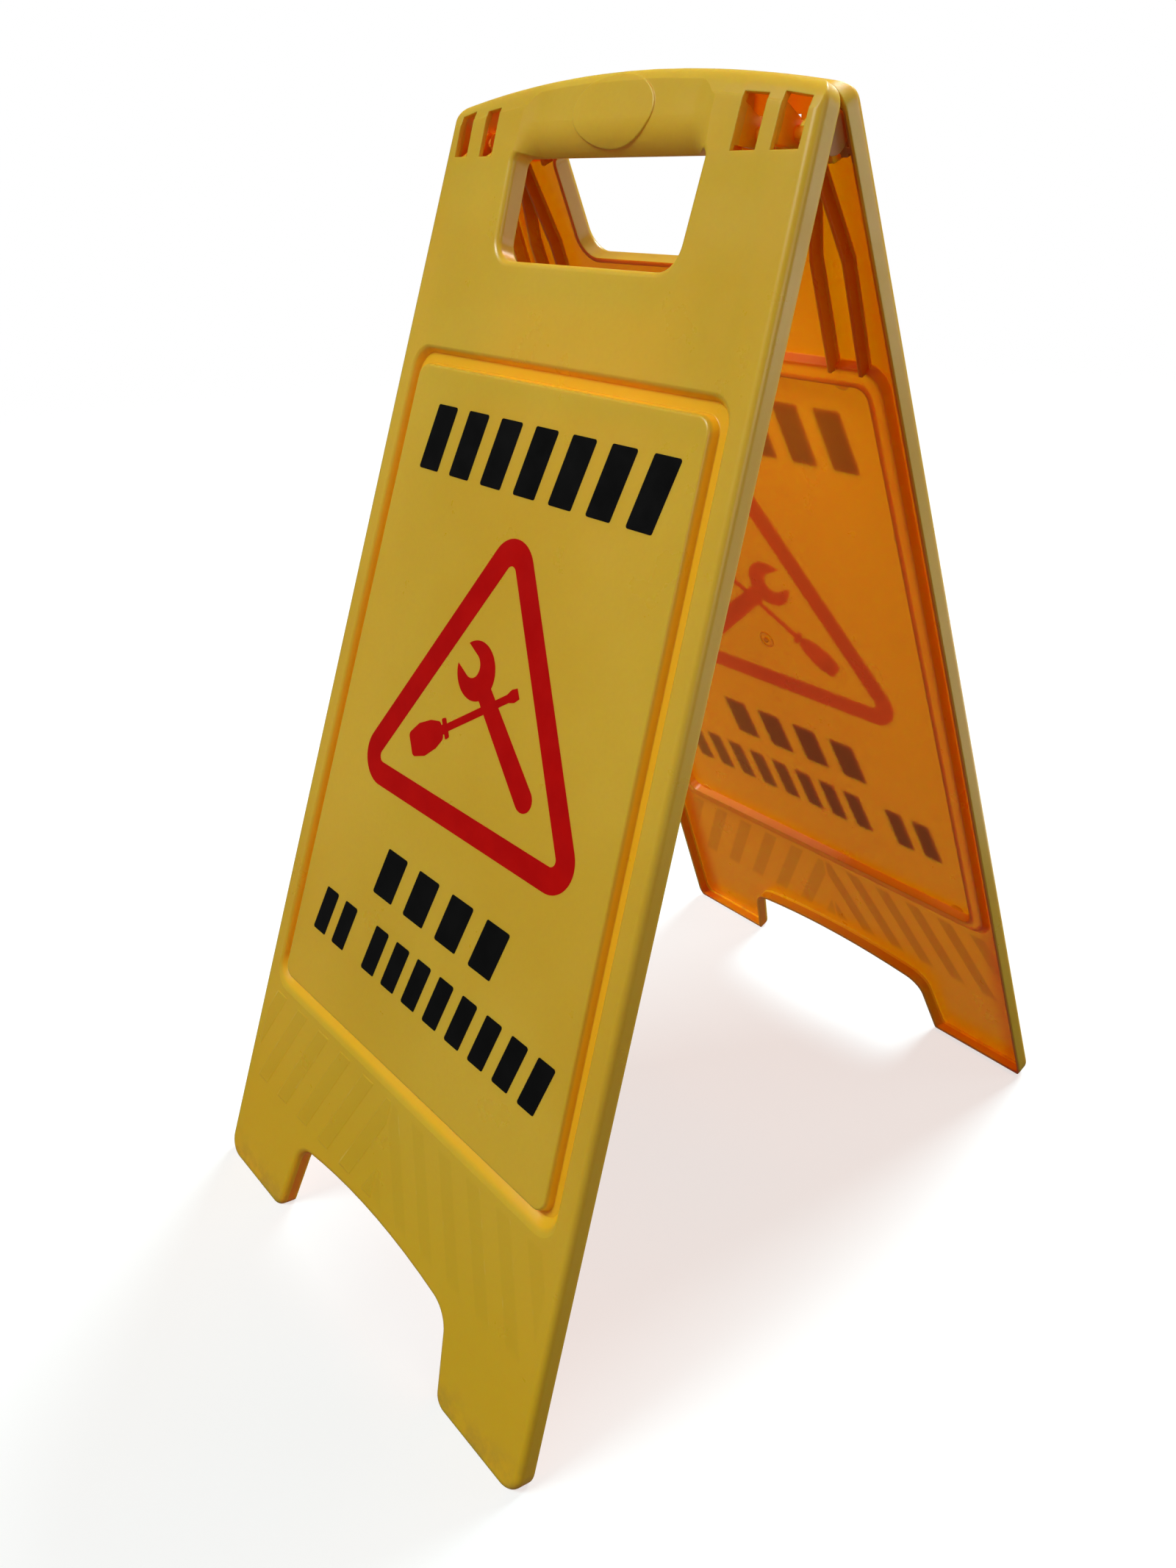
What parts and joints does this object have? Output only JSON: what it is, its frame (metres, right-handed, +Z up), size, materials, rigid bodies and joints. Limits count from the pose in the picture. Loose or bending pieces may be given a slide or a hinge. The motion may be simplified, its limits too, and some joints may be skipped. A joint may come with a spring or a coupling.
{
  "type": "folding floor caution sign",
  "caption": "A-frame floor caution sign of moulded yellow plastic: tapered leaves on a snap hinge, hand holes, framed printed warning panels and arched feet.",
  "frame": {"origin": "on the floor, midway between the feet, straight under the hinge", "axes": "+Z up, X along the hinge, the front leaf stands towards -Y and the rear leaf towards +Y"},
  "size_m": [0.2986, 0.4346, 0.5818],
  "materials": {
    "leaf": "satin, translucent yellow polypropylene",
    "ink_red": "screen-printed ink",
    "ink_black": "screen-printed ink"
  },
  "bodies": {
    "front": {"front_leaf": "leaf", "front_print_triangle": "ink_red", "front_print_tools": "ink_red", "front_print_bars": "ink_black"},
    "rear": {"rear_leaf": "leaf", "rear_print_triangle": "ink_red", "rear_print_tools": "ink_red", "rear_print_bars": "ink_black"}
  },
  "joints": [
    {"name": "fold", "type": "hinge", "parent": "front", "child": "rear", "pos_m": [0, 0, 0.55651], "axis": [-1, 0, 0], "range_deg": [0, 40]}
  ]
}
